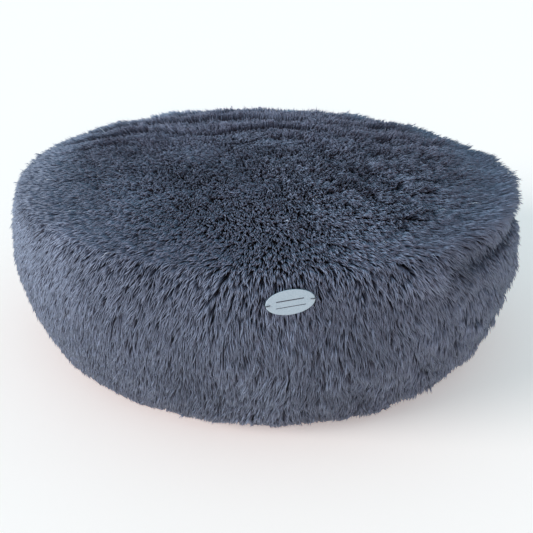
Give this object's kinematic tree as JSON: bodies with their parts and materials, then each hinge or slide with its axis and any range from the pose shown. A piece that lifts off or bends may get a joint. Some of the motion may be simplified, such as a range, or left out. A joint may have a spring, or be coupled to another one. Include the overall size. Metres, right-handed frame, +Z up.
{
  "type": "pet cushion bed",
  "caption": "Round box-shaped pet bed in long-pile plush with a crowned top, a rear zip across its side band, a sewn-on oval label and a fibre-filled inner cushion.",
  "frame": {"origin": "middle of the base panel's underside, on the surface that the bed stands on", "axes": "+Z up, -Y towards the front where the label is, +X to the right seen from the front; the zip faces +Y"},
  "size_m": [0.7, 0.6996, 0.255],
  "materials": {
    "plush": "slate blue-grey long-pile plush, combed down",
    "base_cloth": "dark grey woven base cloth",
    "ticking": "off-white plain-weave ticking and its sewing thread",
    "filling": "white hollow-fibre wadding",
    "thread": "slate polyester sewing thread",
    "stitch": "dark waxed stitching thread",
    "zip_tape": "herringbone zip tape",
    "zip_coil": "nylon coil, satin",
    "zip_metal": "plated zinc, satin",
    "label": "pale grey-green faux leather, matt"
  },
  "bodies": {
    "cushion": {"cover_top_panel": "plush", "cover_band_front_left": "plush", "cover_band_front_right": "plush", "cover_band_rear_upper": "plush", "cover_band_rear_lower": "plush", "cover_base_panel": "base_cloth", "cover_top_seam_thread": "thread", "cover_base_seam_thread": "thread", "cover_front_seam_thread": "thread", "cover_left_seam_thread": "thread", "cover_right_seam_thread": "thread", "case_top_seam_thread": "ticking", "case_base_seam_thread": "ticking", "inner_case_top": "ticking", "inner_case_band": "ticking", "inner_case_base": "ticking", "filling": "filling", "zip_tape_upper": "zip_tape", "zip_tape_lower": "zip_tape", "zip_coil_upper": "zip_coil", "zip_coil_lower": "zip_coil", "zip_top_stop_upper": "zip_metal", "zip_top_stop_lower": "zip_metal", "zip_bottom_stop": "zip_metal", "label_plate": "label", "label_stitch_left": "stitch", "label_stitch_right": "stitch"},
    "zip_slider": {"zip_slider_body": "zip_metal"},
    "zip_pull": {"zip_pull_tab": "zip_metal"}
  },
  "joints": [
    {"name": "zip_slider_travel", "type": "hinge", "parent": "cushion", "child": "zip_slider", "pos_m": [0, 0, 0.134], "axis": [0, 0, -1], "range_deg": [0, 126.3]},
    {"name": "zip_pull_swing", "type": "hinge", "parent": "zip_slider", "child": "zip_pull", "pos_m": [-0.30108, 0.15219, 0.134], "axis": [0, 0, 1], "range_deg": [0, 120]}
  ]
}
